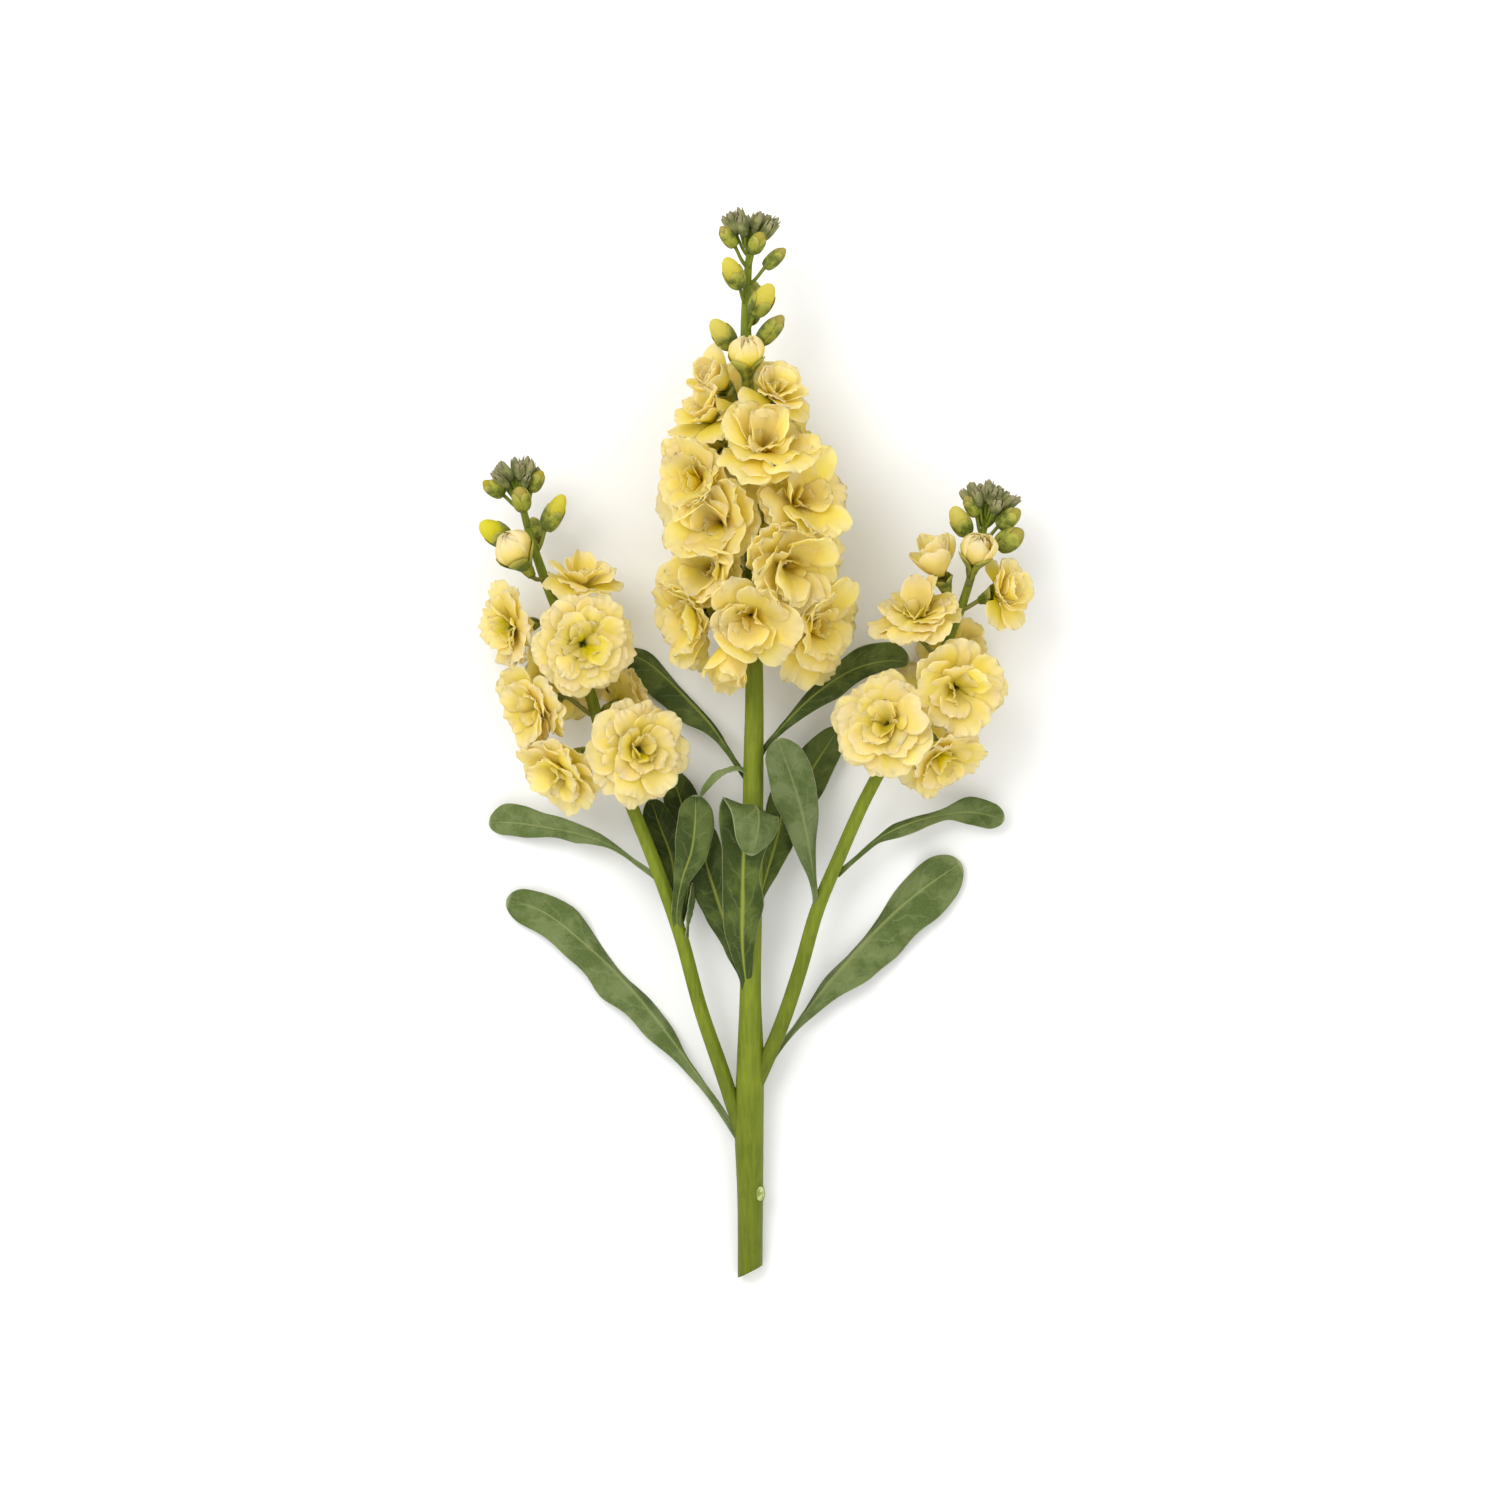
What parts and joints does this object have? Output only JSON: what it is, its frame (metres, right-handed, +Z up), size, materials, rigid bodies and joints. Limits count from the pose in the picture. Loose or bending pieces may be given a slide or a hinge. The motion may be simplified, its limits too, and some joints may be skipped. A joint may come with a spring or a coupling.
{
  "type": "stock flower stem",
  "caption": "Cut branching stem of double stock flowers, lying on a surface: three spikes of ruffled pale yellow blooms with buds at their tips, and waved grey-green leaves.",
  "frame": {"origin": "middle of the footprint of the lying stem, on the surface that it lies on", "axes": "+Y along the stem towards the tip of the middle spike, +Z up away from the surface, +X to the right seen from above"},
  "size_m": [0.1891, 0.364, 0.0634],
  "materials": {
    "stem": "matte living green bark, finely ridged",
    "leaf": "matte, finely felted grey-green",
    "petal": "soft satin, finely veined",
    "bud": "soft satin"
  },
  "bodies": {
    "root": {"stem": "stem", "bloom_main_01": "petal", "bloom_main_02": "petal", "bloom_main_03": "petal", "bloom_main_04": "petal", "bloom_main_05": "petal", "bloom_main_06": "petal", "bloom_main_07": "petal", "bloom_main_08": "petal", "bloom_main_09": "petal", "bloom_main_10": "petal", "bloom_main_11": "petal", "bloom_main_12": "petal", "bloom_main_13": "petal", "bloom_main_14": "petal", "bloom_main_15": "petal", "bloom_main_16": "petal", "bloom_main_17": "petal", "bloom_main_18": "petal", "bloom_main_19": "petal", "bloom_main_20": "petal", "bloom_left_01": "petal", "bloom_left_02": "petal", "bloom_left_03": "petal", "bloom_left_04": "petal", "bloom_left_05": "petal", "bloom_left_06": "petal", "bloom_left_07": "petal", "bloom_left_08": "petal", "bloom_right_01": "petal", "bloom_right_02": "petal", "bloom_right_03": "petal", "bloom_right_04": "petal", "bloom_right_05": "petal", "bloom_right_06": "petal", "bloom_right_07": "petal", "bloom_opening_left": "petal", "bloom_opening_right_1": "petal", "bloom_opening_right_2": "petal", "bloom_opening_main": "petal", "bud_main_1": "bud", "bud_main_2": "bud", "bud_main_3": "bud", "bud_left_1": "bud", "bud_left_2": "bud", "bud_right_1": "bud", "leaf_low_left": "leaf", "leaf_low_right": "leaf", "leaf_mid_left": "leaf", "leaf_mid_right": "leaf", "leaf_upper_left": "leaf", "leaf_upper_right": "leaf", "leaf_behind_right": "leaf", "leaf_right_front": "leaf", "leaf_stem_right": "leaf", "leaf_stem_front": "leaf", "leaf_stem_left": "leaf", "leaf_branch_front": "leaf", "leaf_branch_left": "leaf", "leaf_branch_behind": "leaf"}
  },
  "joints": []
}
